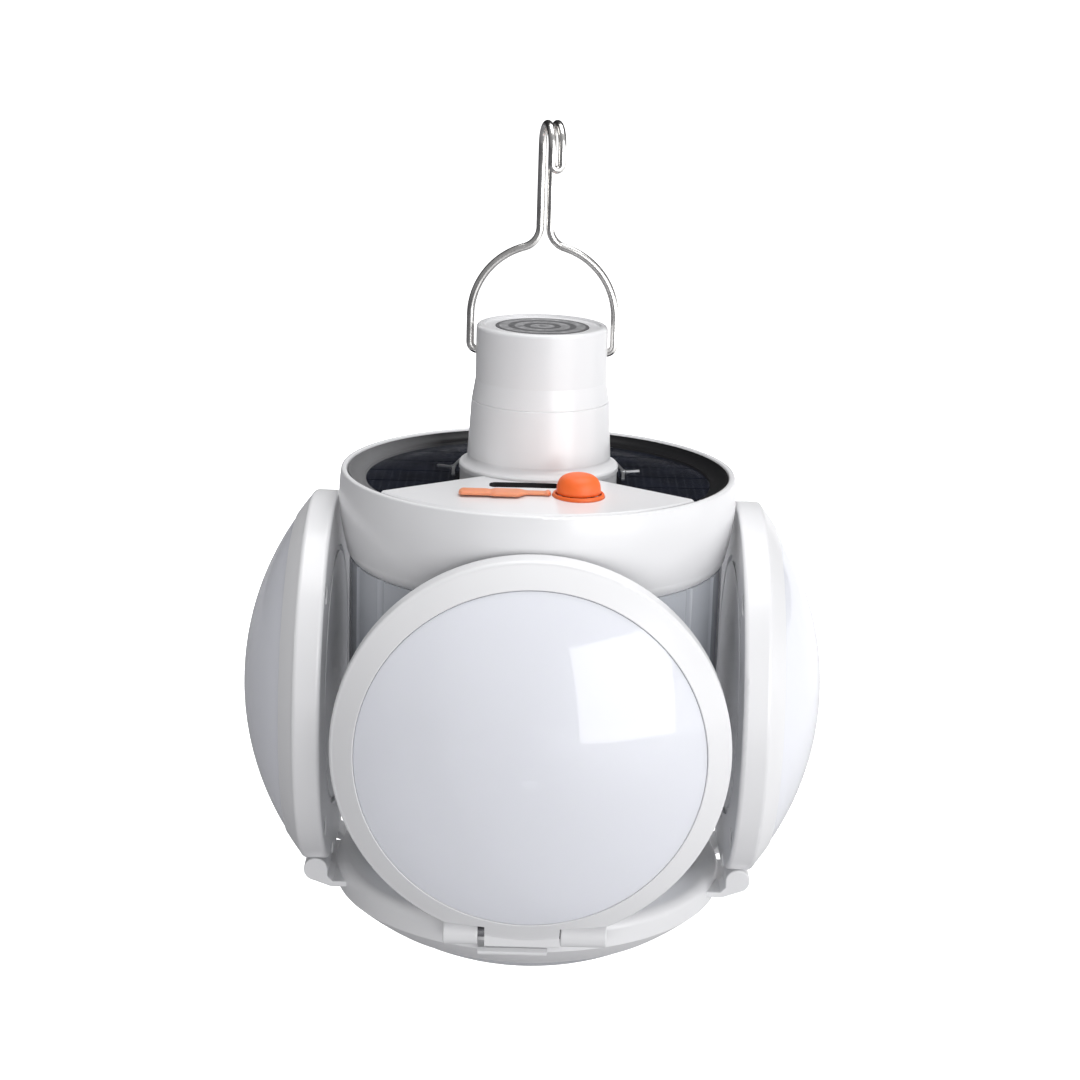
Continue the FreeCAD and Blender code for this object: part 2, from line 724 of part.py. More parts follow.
def panel_leads():
    """Y-shaped silver collector tabs beside the neck, one each side."""
    centre_x, centre_y = 17.0, 8.4
    half_width, thick, hub_r = 0.3, 0.2, 0.6
    pieces = []
    for side in (-1, 1):
        arms = []
        for angle, length in ((100, 7.2), (268, 6.4), (20, 3.4)):
            arm = block((0, -half_width, CELL_TOP), (length, half_width, CELL_TOP + thick))
            arm.rotate(ORIGIN, Z, angle if side > 0 else 180 - angle)
            arm.translate(at(side * centre_x, centre_y, 0))
            arms.append(arm)
        arms.append(disc(hub_r, CELL_TOP, CELL_TOP + 1.5 * thick, side * centre_x, centre_y))
        pieces.append(joined(arms))
    return Part.makeCompound(pieces)


# ---------------------------------------------------------------- neck
def neck_tube():
    foot = FLANGE_SEAT
    spigot_low = 34.0
    return turned(
        (NECK_BORE_R, spigot_low),
        (SPIGOT_R, spigot_low),
        (SPIGOT_R, foot),
        (FLANGE_R, foot),
        (FLANGE_R, foot + 0.7),
        ((FLANGE_R - 0.15, foot + 1.05), (FLANGE_R - 0.5, foot + 1.2)),
        ((14.3, foot + 1.6), (NECK_FOOT_R, foot + 2.8)),
        (NECK_TOP_R, NECK_SEAM_Z - 0.15),
        (NECK_TOP_R - 0.15, NECK_SEAM_Z),
        (NECK_BORE_R, NECK_SEAM_Z),
    )


DISC_R = 9.0
DISC_SEAT_Z = NECK_TOP_Z - 0.8


def neck_cap():
    skirt_r = NECK_BORE_R - GAP
    skirt_low = 51.0
    bore_r = 10.85
    roof = 1.4
    ring_z = NECK_TOP_Z - 0.4
    solid = turned(
        (skirt_r, skirt_low),
        (skirt_r, NECK_SEAM_Z),
        (NECK_TOP_R - 0.2, NECK_SEAM_Z),
        (NECK_TOP_R - 0.08, NECK_SEAM_Z + 0.15),
        (NECK_CAP_R, NECK_SEAM_Z + 4.0),
        (NECK_CAP_R, NECK_TOP_Z - 0.8),
        ((NECK_CAP_R - 0.23, NECK_TOP_Z - 0.23), (NECK_CAP_R - 0.8, NECK_TOP_Z)),
        (11.4, NECK_TOP_Z),
        (11.1, ring_z),
        (DISC_R + GAP, ring_z),
        (DISC_R + GAP, DISC_SEAT_Z),
        (0, DISC_SEAT_Z),
        (0, DISC_SEAT_Z - roof),
        (bore_r, DISC_SEAT_Z - roof),
        (bore_r, skirt_low),
    )
    pivots = rod(WIRE_R + PIN_PLAY, at(-FAR, 0, BAIL_PIVOT_Z), at(FAR, 0, BAIL_PIVOT_Z))
    return solid.cut(pivots)


def neck_disc():
    thick = 0.45
    return disc(DISC_R, DISC_SEAT_Z, DISC_SEAT_Z + thick)


# ---------------------------------------------------------------- bail
def bail():
    """One bent wire: pivots, round bail, double stem, forward hook and its closed end."""
    bend = 1.5                 # radius where a leg turns in to its pivot
    bend_corner = bend * (1 - math.sqrt(0.5))
    fillet = 4.0               # radius where the round part turns up into the stem
    pivot_end_x = 11.0
    turn = math.radians(HOOK_TURN)
    forward = at(math.sin(turn), -math.cos(turn), 0)
    across = at(math.cos(turn), math.sin(turn), 0)
    reach = BAIL_LEG_X + fillet
    fillet_x = STEM_X + fillet
    fillet_z = BAIL_ARC_Z + math.sqrt(reach ** 2 - fillet_x ** 2)
    tangent = (BAIL_LEG_X * fillet_x / reach, BAIL_ARC_Z + BAIL_LEG_X * (fillet_z - BAIL_ARC_Z) / reach)
    arc_mid = math.atan2(tangent[1] - BAIL_ARC_Z, tangent[0]) / 2
    fillet_start = math.atan2(tangent[1] - fillet_z, tangent[0] - fillet_x)
    fillet_mid = (fillet_start - math.pi) / 2
    bend_z = HOOK_TOP_Z - WIRE_R - HOOK_BEND_R
    twist_low = bend_z - 9.0   # from here up the stem twists to the hook's plane
    end_z = 103.4              # foot of the hook's straight end

    def half(side):
        def flat(x, z):
            return at(side * x, 0, z)
        strand = across * (side * STEM_X)
        top = strand + forward * HOOK_BEND_R + Z * (bend_z + HOOK_BEND_R)
        far = strand + forward * (2 * HOOK_BEND_R)
        ends = [flat(STEM_X, twist_low), strand + Z * bend_z]
        twist = Part.BSplineCurve()
        twist.interpolate(Points=ends, InitialTangent=Z, FinalTangent=Z)
        return [
            Part.makeLine(flat(pivot_end_x, BAIL_PIVOT_Z), flat(BAIL_LEG_X - bend, BAIL_PIVOT_Z)),
            Part.Arc(
                flat(BAIL_LEG_X - bend, BAIL_PIVOT_Z),
                flat(BAIL_LEG_X - bend_corner, BAIL_PIVOT_Z + bend_corner),
                flat(BAIL_LEG_X, BAIL_PIVOT_Z + bend),
            ).toShape(),
            Part.makeLine(flat(BAIL_LEG_X, BAIL_PIVOT_Z + bend), flat(BAIL_LEG_X, BAIL_ARC_Z)),
            Part.Arc(
                flat(BAIL_LEG_X, BAIL_ARC_Z),
                flat(BAIL_LEG_X * math.cos(arc_mid), BAIL_ARC_Z + BAIL_LEG_X * math.sin(arc_mid)),
                flat(*tangent),
            ).toShape(),
            Part.Arc(
                flat(*tangent),
                flat(fillet_x + fillet * math.cos(fillet_mid), fillet_z + fillet * math.sin(fillet_mid)),
                flat(STEM_X, fillet_z),
            ).toShape(),
            Part.makeLine(flat(STEM_X, fillet_z), flat(STEM_X, twist_low)),
            twist.toShape(),
            Part.Arc(strand + Z * bend_z, top, far + Z * bend_z).toShape(),
            Part.makeLine(far + Z * bend_z, far + Z * end_z),
        ]

    left, right = half(-1), half(1)
    far = forward * (2 * HOOK_BEND_R)
    end = Part.Arc(
        across * -STEM_X + far + Z * end_z,
        far + Z * (end_z - STEM_X),
        across * STEM_X + far + Z * end_z,
    ).toShape()
    return swept(WIRE_R, left + [end] + right[::-1])


# ---------------------------------------------------------------- button, cover and socket
BUTTON_FOOT = ledge_height(*BUTTON_AT)
COVER_FOOT = ledge_height(*COVER_AT)
COLLAR_BORE_R = BUTTON_R + GAP
BOARD_TOP = 36.0
PLUNGER_TOP = 40.2
PLUNGER_R = 1.7


def button_dome():
    x, y = BUTTON_AT
    low = BUTTON_FOOT + BUTTON_TRAVEL - 0.2
    high = BUTTON_FOOT + 4.2
    stem_r = 1.6
    r = BUTTON_R
    shoulder_r = 0.8 * r
    crown = 1.0
    crown_r = (crown ** 2 + shoulder_r ** 2) / (2 * crown)
    crown_mid = math.asin(shoulder_r / crown_r) / 2
    dome = turned(
        (0, low),
        (r, low),
        (0.985 * r, high - 2.1),
        ((0.93 * r, high - 1.45), (shoulder_r, high - crown)),
        ((crown_r * math.sin(crown_mid), high - crown_r * (1 - math.cos(crown_mid))), (0, high)),
    )
    stem = disc(stem_r, PLUNGER_TOP, low)
    solid = joined([dome, stem])
    solid.translate(at(x, y, 0))
    return solid


def button_collar():
    x, y = BUTTON_AT
    inner, outer = COLLAR_BORE_R, COLLAR_R
    low = BUTTON_FOOT - COLLAR_SEAT
    solid = turned(
        (inner, low),
        (outer, low),
        (outer, BUTTON_FOOT + 0.1),
        ((outer - 0.1, BUTTON_FOOT + 0.35), (outer - 0.35, BUTTON_FOOT + 0.45)),
        (inner + 0.1, BUTTON_FOOT + 0.55),
        (inner, BUTTON_FOOT + 0.45),
    )
    solid.translate(at(x, y, 0))
    return solid


def cover_strap():
    """Thin strap with a rolled bead at its root, which is where it bends."""
    thick, half_width, bead_r, bead_half = 0.6, 1.1, 0.4, 1.3
    foot = COVER_FOOT + 0.15
    axis_z = foot + bead_r
    x, y = STRAP_HINGE_X, STRAP_Y
    cover_end = COVER_AT[0] + COVER_SIZE[0] / 2
    band = block((cover_end, y - half_width, foot), (x, y + half_width, foot + thick))
    bead = rod(bead_r, at(x, y - bead_half, axis_z), at(x, y + bead_half, axis_z))
    return joined([band, bead])


def port_cover():
    x, y = COVER_AT
    length, depth, thick = COVER_SIZE
    low = COVER_FOOT + 0.2
    high = low + thick
    narrowing = 0.5            # the pull end is narrower than the plug end on each side
    halves = []
    for left, right, half in ((-length / 2, 0.8, depth / 2 - narrowing), (-1.2, length / 2, depth / 2)):
        pad = rounded_block((x + left, y - half, low), (x + right, y + half, high), 1.4)
        top = [edge for edge in pad.Edges if edge.BoundBox.ZMin > high - 0.01]
        halves.append(pad.makeFillet(0.3, top))
    return joined(halves)


def charging_socket():
    """Steel shell of the charging socket, mouth up in the ledge's slot."""
    x, y = PORT_AT
    half_length, half_width, wall, mouth_z = 3.75, 1.45, 0.3, 43.2
    bore_length, bore_width, floor = half_length - wall, half_width - wall, BOARD_TOP + 0.6
    tongue_length, tongue_width, tongue_top = 2.6, 0.3, 42.0
    outer = rounded_block(
        (x - half_length, y - half_width, BOARD_TOP), (x + half_length, y + half_width, mouth_z), 0.7)
    inner = rounded_block(
        (x - bore_length, y - bore_width, floor), (x + bore_length, y + bore_width, FAR), 0.5)
    tongue = block(
        (x - tongue_length, y - tongue_width, floor - GAP),
        (x + tongue_length, y + tongue_width, tongue_top),
    )
    return joined([outer.cut(inner), tongue])


def switch_body():
    x, y = BUTTON_AT
    half, height, well = 3.0, 3.4, 1.2
    high = BOARD_TOP + height
    body = rounded_block((x - half, y - half, BOARD_TOP), (x + half, y + half, high), 0.4)
    return body.cut(disc(PLUNGER_R + GAP, high - well, high, x, y))


def switch_plunger():
    return disc(PLUNGER_R, BOARD_TOP + 3.05, PLUNGER_TOP, *BUTTON_AT)


def control_board():
    """Circuit board under the ledge, cut round the neck's spigot."""
    board = rounded_block((-17.0, -30.0, BOARD_TOP - 1.6), (17.0, -14.0, BOARD_TOP), 1.5)
    return board.cut(disc(SPIGOT_R + 0.5, 0, FAR))


# ---------------------------------------------------------------- writing
PIECES = {
    "cap_housing": cap_housing,
    "cap_deck": cap_deck,
    "solar_panel": solar_panel,
    "solar_cells": solar_cells,
    "panel_frame": panel_frame,
    "panel_leads": panel_leads,
    "neck_tube": neck_tube,
    "neck_cap": neck_cap,
    "neck_disc": neck_disc,
    "hook_bail": bail,
    "button_dome": button_dome,
    "button_collar": button_collar,
    "cover_strap": cover_strap,
    "port_cover": port_cover,
    "charging_socket": charging_socket,
    "switch_body": switch_body,
    "switch_plunger": switch_plunger,
    "control_board": control_board,
    "battery_cell": battery_cell,
    "battery_sleeve": battery_sleeve,
    "bottom_spring": bottom_spring,
    "top_contact": top_contact,
    "battery_wires": battery_wires,
    "column": column,
    "base_housing": base_housing,
    "base_bezel": base_bezel,
    "base_lens": base_lens,
    "base_light_board": lambda: light_board(BASE_BOARD_TOP - BOARD_THICK, BASE_BOARD_TOP, BASE_BOARD_R),
    "base_light_chips": base_light_chips,
    "base_screws": base_screws,
}

os.makedirs("parts", exist_ok=True)
for piece_name, draw in PIECES.items():
    write(piece_name, draw())
for index, leaf_name in enumerate(LEAF_NAMES):
    for piece_name, draw in LEAF_PIECES:
        write(f"{leaf_name}_leaf_{piece_name}", stand(draw(), index))
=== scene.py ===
"""Looks of the folding solar lantern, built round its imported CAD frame."""
import json
import math

import bmesh
import bpy
from mathutils import Matrix, Vector


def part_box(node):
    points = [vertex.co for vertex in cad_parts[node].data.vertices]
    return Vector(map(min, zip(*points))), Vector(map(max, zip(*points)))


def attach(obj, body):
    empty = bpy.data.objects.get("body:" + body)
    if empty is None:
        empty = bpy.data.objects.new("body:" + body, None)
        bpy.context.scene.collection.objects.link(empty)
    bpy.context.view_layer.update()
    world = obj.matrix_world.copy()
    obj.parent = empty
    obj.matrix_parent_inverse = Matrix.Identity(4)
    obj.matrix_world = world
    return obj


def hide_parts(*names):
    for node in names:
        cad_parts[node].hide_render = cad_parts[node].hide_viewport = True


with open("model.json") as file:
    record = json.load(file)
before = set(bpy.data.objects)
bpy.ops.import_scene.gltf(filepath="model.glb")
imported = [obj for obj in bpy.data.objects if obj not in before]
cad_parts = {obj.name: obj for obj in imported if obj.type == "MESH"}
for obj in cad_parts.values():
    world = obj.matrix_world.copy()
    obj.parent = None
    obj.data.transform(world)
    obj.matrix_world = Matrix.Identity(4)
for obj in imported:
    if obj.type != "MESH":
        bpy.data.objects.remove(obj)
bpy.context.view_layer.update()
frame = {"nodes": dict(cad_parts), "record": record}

MM = 0.001
SMOOTH_BELOW = math.radians(32.0)

# Sizes of the faint unevenness that every moulded surface has, and the noise values it runs between.
CLOUD_SIZE, GLOSS_PATCH_SIZE, PEEL_SIZE = 22.0, 9.0, 2.6
NOISE_ENDS = (0.1, 0.9)


# ------------------------------------------------------------------ node trees
class Nodes:
    """A shader node tree, with short calls for the nodes that the looks use."""

    def __init__(self, tree):
        self.tree = tree
        tree.nodes.clear()

    def feed(self, socket, value):
        """Links an output to the socket, or sets the socket to a number, a vector or a colour."""
        if isinstance(value, bpy.types.NodeSocket):
            self.tree.links.new(value, socket)
        elif socket.type == "RGBA":
            socket.default_value = (*value, 1.0)
        else:
            socket.default_value = value

    def node(self, kind, settings=None, **inputs):
        made = self.tree.nodes.new("ShaderNode" + kind)
        for label, value in (settings or {}).items():
            setattr(made, label, value)
        for label, value in inputs.items():
            self.feed(made.inputs[label.replace("_", " ")], value)
        return made

    def math(self, operation, *values):
        made = self.node("Math", {"operation": operation})
        for socket, value in zip(made.inputs, values):
            self.feed(socket, value)
        return made.outputs[0]

    def span(self, factor, low, high, start=0.3, end=0.7, curve="LINEAR"):
        """Maps a factor from start..end to low..high."""
        ends = {"From_Min": start, "From_Max": end, "To_Min": low, "To_Max": high}
        return self.node("MapRange", {"interpolation_type": curve}, Value=factor, **ends).outputs[0]

    def blend(self, factor, first, second):
        made = self.node("Mix", {"data_type": "RGBA"})
        factor_in, first_in, second_in = made.inputs[0], made.inputs[6], made.inputs[7]
        for socket, value in ((factor_in, factor), (first_in, first), (second_in, second)):
            self.feed(socket, value)
        return made.outputs[2]

    def camera_ray(self):
        return self.node("LightPath").outputs["Is Camera Ray"]


class Look(Nodes):
    """One procedural material round a Principled shader. Lengths are in millimetres."""

    def __init__(self, name, **inputs):
        self.material = bpy.data.materials.new(name)
        self.material.use_nodes = True
        super().__init__(self.material.node_tree)
        self.shader = self.node("BsdfPrincipled")
        self.feed(self.node("OutputMaterial").inputs[0], self.shader.outputs[0])
        self.place = self.node("TexCoord").outputs["Object"]
        self.normal = None
        for label, value in inputs.items():
            self.set(label.replace("_", " "), value)

    def set(self, label, value):
        self.feed(self.shader.inputs[label], value)

    def axes(self):
        return self.node("SeparateXYZ", Vector=self.place).outputs

    def distance_from_axis(self):
        """How far a point is from the lantern's upright axis, in metres."""
        x, y, _ = self.axes()
        squares = [self.math("MULTIPLY", side, side) for side in (x, y)]
        return self.math("SQRT", self.math("ADD", *squares))

    def noise(self, size, detail=2.0, stretch=(1.0, 1.0, 1.0)):
        """Noise whose features are about this many millimetres across."""
        scale = tuple(1.0 / (size * MM * s) for s in stretch)
        mapped = self.node("Mapping", Vector=self.place, Scale=scale).outputs[0]
        return self.node("TexNoise", Vector=mapped, Scale=1.0, Detail=detail).outputs[0]

    def bump(self, height, depth):
        """Relief of this depth in millimetres where height runs from 0 to 1."""
        made = self.node("Bump", Height=height, Strength=1.0, Distance=depth * MM)
        if self.normal:
            self.feed(made.inputs["Normal"], self.normal)
        self.normal = made.outputs[0]
        self.set("Normal", self.normal)

    def moulded(self, first, second, rough, peel=0.003):
        """Moulded surface: faint cloudy colour, uneven gloss and orange peel."""
        cloud = self.noise(CLOUD_SIZE)
        self.set("Base Color", self.blend(self.span(cloud, 0.0, 1.0, *NOISE_ENDS), first, second))
        self.set("Roughness", self.span(self.noise(GLOSS_PATCH_SIZE, 3.0), *rough, *NOISE_ENDS))
        if peel:
            self.bump(self.noise(PEEL_SIZE, 0.0), peel)

    def leave_unsampled(self):
        """A wide faint emitter isn't aimed at as a lamp, which would only add noise."""
        self.material.cycles.emission_sampling = "NONE"


# ------------------------------------------------------------------ materials
def white_shell():
    """Gloss white shell plastic. Its gloss varies, but it has no relief."""
    look = Look("white_shell", Coat_Weight=0.25, Coat_Roughness=0.12, Specular_IOR_Level=0.5)
    look.moulded((0.80, 0.80, 0.812), (0.812, 0.812, 0.822), (0.285, 0.345), peel=0.0)
    return look.material


def milky_lens():
    """Milky diffuser: light scatters a little inside it, a faint painted glow lifts its shaded sides, and
    its polished face mirrors the lamps.
    """
    look = Look("milky_lens", Subsurface_Weight=0.35, Subsurface_Scale=0.003,
                Coat_Weight=0.8, Coat_Roughness=0.055, Specular_IOR_Level=0.2)
    look.set("Subsurface Radius", (1.0, 0.95, 1.1))
    # Painted glow: a faint emission brightens the lens everywhere, lifting its shaded sides as if lit
    # from within.
    look.set("Emission Color", (0.93, 0.95, 1.0))
    look.set("Emission Strength", 0.07)
    look.moulded((0.70, 0.71, 0.765), (0.715, 0.725, 0.785), (0.32, 0.38), 0.001)
    look.leave_unsampled()
    return look.material


def panel_black():
    """Black resin of the panel board, slightly wavy."""
    look = Look("panel_black", Specular_IOR_Level=0.25)
    look.moulded((0.006, 0.006, 0.008), (0.010, 0.010, 0.012), (0.15, 0.26), 0.01)
    return look.material


def cell_dark():
    """Dark cells with fine silver fingers across them."""
    finger_pitch, finger_share, finger_strength = 1.6 * MM, 0.06, 0.12
    look = Look("cell_dark", Specular_IOR_Level=0.3)
    along = look.math("FRACT", look.math("DIVIDE", look.axes()[0], finger_pitch))
    fingers = look.math("LESS_THAN", along, finger_share)
    stain = look.span(look.noise(6.0, 3.0), 0.0, 1.0)
    stained = look.blend(stain, (0.005, 0.006, 0.010), (0.009, 0.011, 0.020))
    drawn = look.math("MULTIPLY", fingers, finger_strength)
    look.set("Base Color", look.blend(drawn, stained, (0.30, 0.32, 0.36)))
    look.set("Roughness", look.span(look.noise(4.0, 4.0), 0.13, 0.26))
    look.bump(look.noise(2.5, 1.0), 0.01)
    return look.material


def trim_dark():
    """Near black trim, with a painted sheen on its left end, where the light from the right falls on it.
    """
    sheen_from, sheen_to = -34.0 * MM, -20.0 * MM
    look = Look("trim_dark", Specular_IOR_Level=0.15)
    look.moulded((0.010, 0.010, 0.011), (0.014, 0.014, 0.015), (0.3, 0.42), 0.001)
    # Painted sheen: the trim is paler towards its left end, which faces the light from the right.
    painted_sheen = look.span(look.axes()[0], 1.0, 0.0, sheen_from, sheen_to)
    look.set("Base Color", look.blend(painted_sheen, (0.012, 0.012, 0.013), (0.17, 0.17, 0.175)))
    return look.material


def grey_disc():
    """Printed disc: a grey field with plain darker rings and worn ink."""
    ring_pitch, ring_from, ring_to = 1.5 * MM, 0.5 * MM, 0.8 * MM
    look = Look("grey_disc")
    rings = look.math("PINGPONG", look.distance_from_axis(), ring_pitch)
    ring = look.span(rings, 0.0, 1.0, ring_from, ring_to)
    ink = look.math("MULTIPLY", ring, look.span(look.noise(1.2, 3.0), 0.25, 1.0))
    look.set("Base Color", look.blend(ink, (0.13, 0.13, 0.135), (0.40, 0.40, 0.41)))
    look.set("Roughness", look.span(look.noise(1.0, 3.0), 0.4, 0.6))
    look.bump(ink, 0.01)
    return look.material


def metal(name, colour, rough):
    """Maker of a drawn or rolled metal: fine upright grain and duller clouds."""
    grain_size, grain_stretch, grain_depth, dulled = 0.25, (1.0, 1.0, 12.0), 0.002, 0.72

    def make():
        look = Look(name, Metallic=1.0)
        lines = look.noise(grain_size, 3.0, grain_stretch)
        dull = tuple(dulled * c for c in colour)
        look.set("Base Color", look.blend(look.span(look.noise(3.0, 4.0), 0.0, 1.0), colour, dull))
        look.set("Roughness", look.span(lines, *rough))
        look.bump(lines, grain_depth)
        return look.material
    return make


def plastic(name, first, second, rough, **inputs):
    """Maker of a plain moulded plastic."""
    def make():
        look = Look(name, **inputs)
        look.moulded(first, second, rough)
        return look.material
    return make


def orange_silicone():
    """Orange rubber, paler along the thin strap and cover than at the button."""
    pale_to, full_from = 1.5 * MM, 4.0 * MM
    look = Look("orange_silicone", Subsurface_Weight=0.2, Subsurface_Scale=0.0015, Specular_IOR_Level=0.4)
    look.set("Subsurface Radius", (1.0, 0.35, 0.12))
    look.moulded((0.90, 0.145, 0.025), (0.94, 0.175, 0.035), (0.38, 0.52), 0.002)
    pale = look.span(look.axes()[0], 1.0, 0.0, pale_to, full_from)
    look.set("Base Color", look.blend(pale, (0.90, 0.155, 0.030), (0.80, 0.30, 0.16)))
    return look.material


def green_board():
    """Solder mask with faint tracks under it."""
    track_spacing, track_edge, gap_edge = 3.0 * MM, 0.04, 0.09
    look = Look("green_board", Coat_Weight=0.3)
    cells = look.node("TexVoronoi", {"distance": "MANHATTAN", "feature": "DISTANCE_TO_EDGE"},
                      Vector=look.place, Scale=1.0 / track_spacing)
    track = look.span(cells.outputs[0], 1.0, 0.0, track_edge, gap_edge)
    look.set("Base Color", look.blend(track, (0.010, 0.085, 0.03), (0.02, 0.16, 0.06)))
    look.set("Roughness", look.span(look.noise(2.0, 3.0), 0.3, 0.45))
    look.bump(track, 0.03)
    return look.material


def light_chip():
    """Pale package clouded with yellow phosphor."""
    look = Look("light_chip", Subsurface_Weight=0.1, Subsurface_Scale=0.0005)
    cloud = look.span(look.noise(2.4), 0.0, 1.0)
    look.set("Base Color", look.blend(cloud, (0.78, 0.62, 0.20), (0.85, 0.80, 0.60)))
    look.set("Roughness", look.span(look.noise(1.0), 0.3, 0.5))
    return look.material


MAKERS = {
    "white_shell": white_shell,
    "milky_lens": milky_lens,
    "panel_black": panel_black,
    "cell_dark": cell_dark,
    "trim_dark": trim_dark,
    "grey_disc": grey_disc,
    "silver_lead": metal("silver_lead", (0.75, 0.76, 0.78), (0.29, 0.45)),
    "steel_wire": metal("steel_wire", (0.92, 0.905, 0.88), (0.15, 0.26)),
    "orange_silicone": orange_silicone,
    "socket_steel": metal("socket_steel", (0.55, 0.55, 0.57), (0.28, 0.4)),
    "black_plastic": plastic("black_plastic", (0.02, 0.02, 0.022), (0.035, 0.035, 0.037), (0.4, 0.55)),
    "green_board": green_board,
    "battery_wrap": plastic("battery_wrap", (0.02, 0.11, 0.33), (0.03, 0.14, 0.38), (0.28, 0.38)),
    "spring_steel": metal("spring_steel", (0.6, 0.6, 0.62), (0.28, 0.4)),
    "contact_brass": metal("contact_brass", (0.72, 0.56, 0.26), (0.28, 0.42)),
    "wire_red": plastic("wire_red", (0.48, 0.02, 0.015), (0.55, 0.03, 0.02), (0.35, 0.5)),
    "column_grey": plastic("column_grey", (0.50, 0.525, 0.57), (0.56, 0.58, 0.62), (0.14, 0.24),
                           Coat_Weight=0.8),
    "board_white": plastic("board_white", (0.72, 0.73, 0.72), (0.78, 0.78, 0.77), (0.35, 0.5)),
    "light_chip": light_chip,
    "screw_steel": metal("screw_steel", (0.52, 0.52, 0.54), (0.28, 0.42)),
    "pin_steel": metal("pin_steel", (0.58, 0.58, 0.6), (0.12, 0.25)),
}
LOOKS = {slot: make() for slot, make in MAKERS.items()}


# ------------------------------------------------------------------ carried-over CAD nodes
def paint(obj, slot):
    obj.data.materials.clear()
    obj.data.materials.append(LOOKS[slot])


for part in frame["record"]["subparts"]:
    node = frame["nodes"][part["node"]]
    paint(node, part["material_slot"])
    node.data.shade_smooth()
    node.data.set_sharp_from_angle(angle=SMOOTH_BELOW)


def box_of(name):
    low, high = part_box(name)
    return Vector(low), Vector(high)


def shade_slot_walls(holder, socket, slot, reach):
    """Paints the walls of the holder's slot round the socket, above the socket's foot, as painted shade
    darkening the recess.
    """
    upright = 0.7
    mesh = frame["nodes"][holder].data
    low, high = box_of(socket)
    mesh.materials.append(LOOKS[slot])
    for face in mesh.polygons:
        centre = face.center
        inside = all(low[a] - reach[a] < centre[a] < high[a] + reach[a] for a in range(len(reach)))
        if inside and centre.z > low.z and abs(face.normal.z) < upright:
            face.material_index = 1


# Painted shade: the walls of the charging slot take the black plastic look to darken the recess.
shade_slot_walls("cap_deck", "charging_socket", "black_plastic", (3.2 * MM, 0.6 * MM))


# ------------------------------------------------------------------ silicone parts
def make_piece(name, verts, faces, slot, body, *stands_for):
    mesh = bpy.data.meshes.new(name)
    mesh.from_pydata([tuple(v) for v in verts], [], faces)
    shape = bmesh.new()
    shape.from_mesh(mesh)
    bmesh.ops.recalc_face_normals(shape, faces=shape.faces)
    shape.to_mesh(mesh)
    shape.free()
    mesh.shade_smooth()
    piece = bpy.data.objects.new(name, mesh)
    bpy.context.scene.collection.objects.link(piece)
    paint(piece, slot)
    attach(piece, body)
    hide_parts(*stands_for)


def lathe(profile, centre, sides=128):
    """Vertices and faces of a profile of (radius, height) turned round an upright axis.

    The profile is a closed loop, or, if both its ends lie on the axis, it ends in a pole at each."""
    poles = profile[0][0] == 0.0 and profile[-1][0] == 0.0
    rings = profile[1:-1] if poles else profile
    verts, faces, count = [], [], len(rings)
    for side in range(sides):
        angle = 2.0 * math.pi * side / sides
        way = Vector((math.cos(angle), math.sin(angle), 0.0))
        verts += [Vector((centre.x, centre.y, height)) + way * radius for radius, height in rings]
    for side in range(sides):
        here, there = side * count, (side + 1) % sides * count
        for step in range(count - 1 if poles else count):
            nxt = (step + 1) % count
            faces.append((here + step, there + step, there + nxt, here + nxt))
    if poles:
        first, last = len(verts), len(verts) + 1
        verts += [Vector((centre.x, centre.y, profile[end][1])) for end in (0, -1)]
        for side in range(sides):
            here, there = side * count, (side + 1) % sides * count
            faces.append((first, there, here))
            faces.append((last, here + count - 1, there + count - 1))
    return verts, faces


def superellipse(t, power):
    """Unit rounded-square quadrant: t = 0 is the side, t = 1 is the top."""
    angle = 0.5 * math.pi * t
    return abs(math.cos(angle)) ** (2.0 / power), abs(math.sin(angle)) ** (2.0 / power)


def make_button():
    """Soft drum with a domed top over the switch's stem."""
    stem, steps, squareness = 1.6 * MM, 28, 2.9
    lift, foot_inset, foot_rise = 0.05 * MM, 0.1 * MM, 0.04 * MM
    low, high = box_of("button_dome")
    _, ring_high = box_of("button_collar")
    radius = (high.x - low.x) / 2
    foot = ring_high.z + lift
    dome = [superellipse(step / steps, squareness) for step in range(steps)]
    profile = [(0.0, low.z), (stem, low.z), (stem, foot), (radius - foot_inset, foot - foot_rise)]
    profile += [(radius * a, foot + (high.z - foot) * b) for a, b in dome]
    profile.append((0.0, high.z))
    drum = lathe(profile, (low + high) / 2)
    make_piece("button_skin", *drum, "orange_silicone", "button", "button_dome")


def make_button_ring():
    """Thick ring moulded round the button's foot, with a rounded crest."""
    gap, steps, squareness = 0.1 * MM, 8, 2.2
    low, high = box_of("button_collar")
    button_low, button_high = box_of("button_dome")
    outer_r, inner_r = (high.x - low.x) / 2, (button_high.x - button_low.x) / 2 + gap
    middle, half = (outer_r + inner_r) / 2, (outer_r - inner_r) / 2
    shoulder = high.z - 2 * half
    bead = [superellipse(step / steps, squareness) for step in range(steps + 1)]
    crest = [(middle + half * a, shoulder + 2 * half * b) for a, b in bead]
    crest += [(middle - half * a, shoulder + 2 * half * b) for a, b in reversed(bead[:-1])]
    ring = lathe([(inner_r, low.z), (outer_r, low.z)] + crest, (low + high) / 2)
    make_piece("button_ring", *ring, "orange_silicone", "body", "button_collar")


def smooth_step(value, start, end):
    share = min(1.0, max(0.0, (value - start) / (end - start)))
    return share * share * (3.0 - 2.0 * share)


